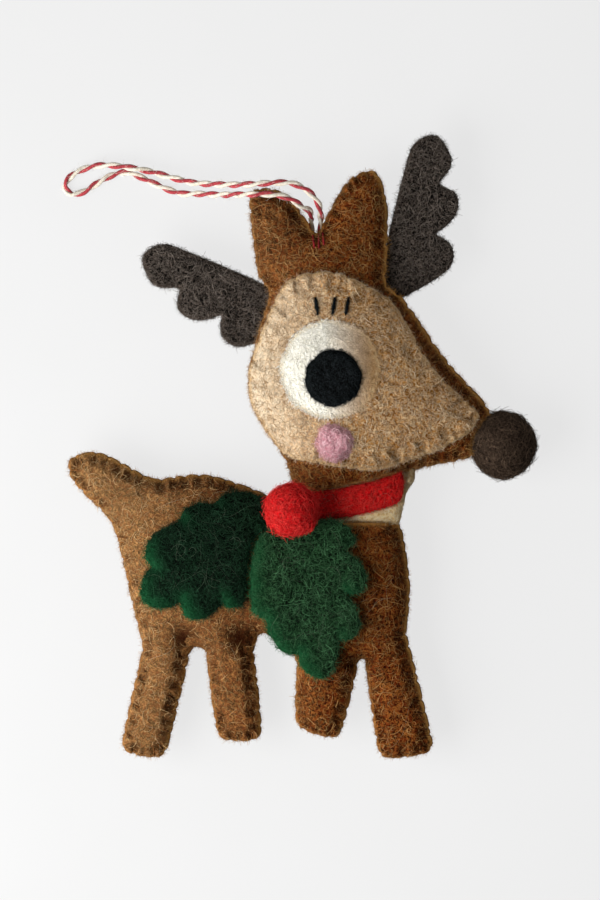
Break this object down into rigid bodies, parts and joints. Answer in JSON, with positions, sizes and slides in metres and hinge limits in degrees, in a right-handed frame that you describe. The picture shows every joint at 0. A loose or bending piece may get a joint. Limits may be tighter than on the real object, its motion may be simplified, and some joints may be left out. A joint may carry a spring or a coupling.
{
  "type": "felt reindeer ornament",
  "caption": "Stuffed felt reindeer in profile with sewn face, antlers, scarf, holly leaves and berry, made to hang by a twine loop.",
  "frame": {"origin": "middle of the felt's outline on the table, at the flattened back, leaving out the twine loop", "axes": "+X towards the nose, +Y from the hooves towards the antlers, +Z out of the decorated front"},
  "size_m": [0.0953, 0.1246, 0.0259],
  "materials": {
    "brown_felt": "matte wool felt",
    "tan_felt": "matte wool felt",
    "cream_felt": "matte wool felt",
    "black_felt": "matte wool felt",
    "pink_felt": "matte wool felt",
    "nose_felt": "matte wool felt",
    "antler_felt": "matte wool felt",
    "red_felt": "matte wool felt",
    "green_felt": "matte wool felt",
    "beige_felt": "matte wool felt",
    "filling": "loose fibre",
    "twine": "two-ply red and cream twine"
  },
  "bodies": {
    "ornament": {"body_front_panel": "brown_felt", "body_back_panel": "brown_felt", "body_filling": "filling", "head_front_panel": "brown_felt", "head_back_panel": "brown_felt", "head_filling": "filling", "neck_sleeve": "beige_felt", "face_patch": "tan_felt", "eye_white": "cream_felt", "eye_pupil": "black_felt", "cheek_spot": "pink_felt", "eyelash_1": "black_felt", "eyelash_2": "black_felt", "eyelash_3": "black_felt", "nose_ball": "nose_felt", "antler_left": "antler_felt", "antler_right": "antler_felt", "scarf_band": "red_felt", "holly_berry": "red_felt", "loop_knot": "twine"},
    "rear_leaf_flap": {"rear_leaf": "green_felt"},
    "front_leaf_flap": {"front_leaf": "green_felt"},
    "loop": {"hanging_loop": "twine"}
  },
  "joints": [
    {"name": "rear_leaf_lift", "type": "hinge", "parent": "ornament", "child": "rear_leaf_flap", "pos_m": [-0.00558, -0.01453, 0.01418], "axis": [-0.5089, 0.8608, 0], "range_deg": [0, 16]},
    {"name": "front_leaf_lift", "type": "hinge", "parent": "ornament", "child": "front_leaf_flap", "pos_m": [-0.0014, -0.01643, 0.01541], "axis": [-0.9826, -0.1859, 0], "range_deg": [0, 30]},
    {"name": "loop_lift", "type": "hinge", "parent": "ornament", "child": "loop", "pos_m": [0.00276, 0.0453, 0.00743], "axis": [0, 1, 0], "range_deg": [0, 70]}
  ]
}
